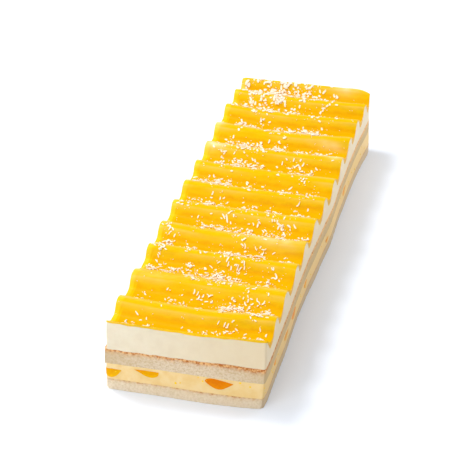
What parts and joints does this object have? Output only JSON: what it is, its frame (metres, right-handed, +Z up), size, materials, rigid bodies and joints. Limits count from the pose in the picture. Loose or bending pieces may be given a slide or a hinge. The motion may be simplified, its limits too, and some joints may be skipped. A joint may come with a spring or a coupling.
{
  "type": "mango passion fruit cake",
  "caption": "Long rectangular layer cake: two sponges, passion fruit cream with mango pieces, white cream combed into waves, mango glaze and coconut flakes.",
  "frame": {"origin": "middle of the underside, on the surface that the cake stands on", "axes": "+Z up; +Y along the cake's length, away from its front end; +X to the right seen from the front"},
  "size_m": [0.0979, 0.3613, 0.0488],
  "materials": {
    "sponge": "open-crumbed almond sponge with a browned crust line on top",
    "fruit_cream": "smooth pale yellow passion fruit cream, slightly moist",
    "white_cream": "set whipped cream with fine pores, cut clean",
    "mango_glaze": "clear yellow fruit jelly, wet gloss, strewn with white coconut flakes",
    "mango_flesh": "orange mango flesh, moist and cut flush with the cake's sides"
  },
  "bodies": {
    "root": {"base_sponge": "sponge", "fruit_cream": "fruit_cream", "upper_sponge": "sponge", "white_cream": "white_cream", "mango_glaze": "mango_glaze", "mango_front_left": "mango_flesh", "mango_front_middle": "mango_flesh", "mango_front_right": "mango_flesh", "mango_right_1": "mango_flesh", "mango_right_2": "mango_flesh", "mango_right_3": "mango_flesh", "mango_right_4": "mango_flesh", "mango_right_5": "mango_flesh", "mango_right_6": "mango_flesh", "mango_left_1": "mango_flesh", "mango_left_2": "mango_flesh", "mango_left_3": "mango_flesh", "mango_left_4": "mango_flesh", "mango_back_1": "mango_flesh", "mango_back_2": "mango_flesh"}
  },
  "joints": []
}
